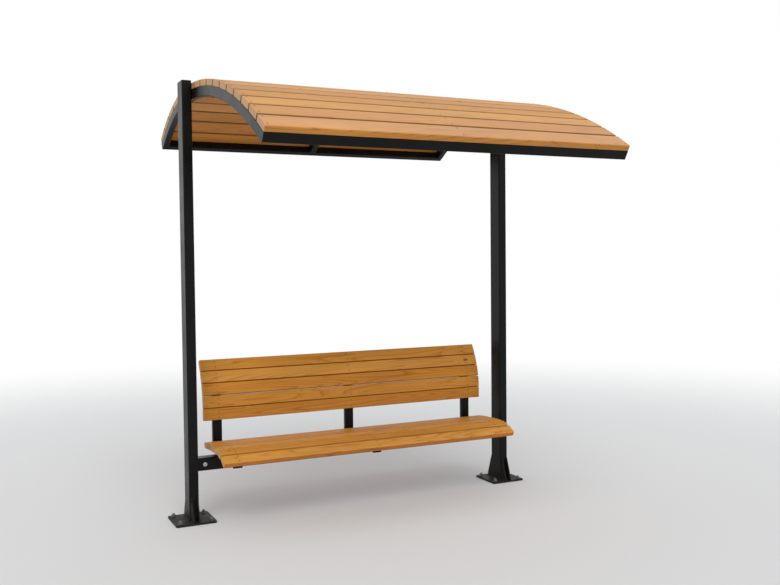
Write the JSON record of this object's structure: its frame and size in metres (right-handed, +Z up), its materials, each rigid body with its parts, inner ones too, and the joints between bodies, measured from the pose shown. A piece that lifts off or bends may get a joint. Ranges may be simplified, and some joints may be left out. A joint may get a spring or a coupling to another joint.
{
  "type": "pergola",
  "caption": "Garden pergola: steel posts carry an arched roof of wooden slats and, between them, a curved slatted bench with a leaning back.",
  "frame": {"origin": "centre of the underside of the left post's base plate", "axes": "+X along the bench from the left post to the right post, +Y to the back of the bench, +Z up"},
  "size_m": [2.5, 2.2871, 2.7],
  "materials": {
    "black_steel": "satin black powder coat",
    "glazed_pine": "clear golden glaze on planed softwood"
  },
  "bodies": {
    "root": {"left_post": "black_steel", "right_post": "black_steel", "left_foot": "black_steel", "right_foot": "black_steel", "left_rib": "black_steel", "middle_rib": "black_steel", "right_rib": "black_steel", "front_eave_beam": "black_steel", "rear_eave_beam": "black_steel", "seat_beam": "black_steel", "left_bench_bracket": "black_steel", "middle_bench_bracket": "black_steel", "right_bench_bracket": "black_steel", "left_post_cap": "black_steel", "right_post_cap": "black_steel", "roof_slat_01": "glazed_pine", "roof_slat_02": "glazed_pine", "roof_slat_03": "glazed_pine", "roof_slat_04": "glazed_pine", "roof_slat_05": "glazed_pine", "roof_slat_06": "glazed_pine", "roof_slat_07": "glazed_pine", "roof_slat_08": "glazed_pine", "roof_slat_09": "glazed_pine", "roof_slat_10": "glazed_pine", "roof_slat_11": "glazed_pine", "roof_slat_12": "glazed_pine", "roof_slat_13": "glazed_pine", "roof_slat_14": "glazed_pine", "roof_slat_15": "glazed_pine", "roof_slat_16": "glazed_pine", "roof_slat_17": "glazed_pine", "seat_slat_1": "glazed_pine", "seat_slat_2": "glazed_pine", "seat_slat_3": "glazed_pine", "seat_slat_4": "glazed_pine", "seat_slat_5": "glazed_pine", "seat_slat_6": "glazed_pine", "back_slat_1": "glazed_pine", "back_slat_2": "glazed_pine", "back_slat_3": "glazed_pine", "back_slat_4": "glazed_pine", "back_slat_5": "glazed_pine"}
  },
  "joints": []
}
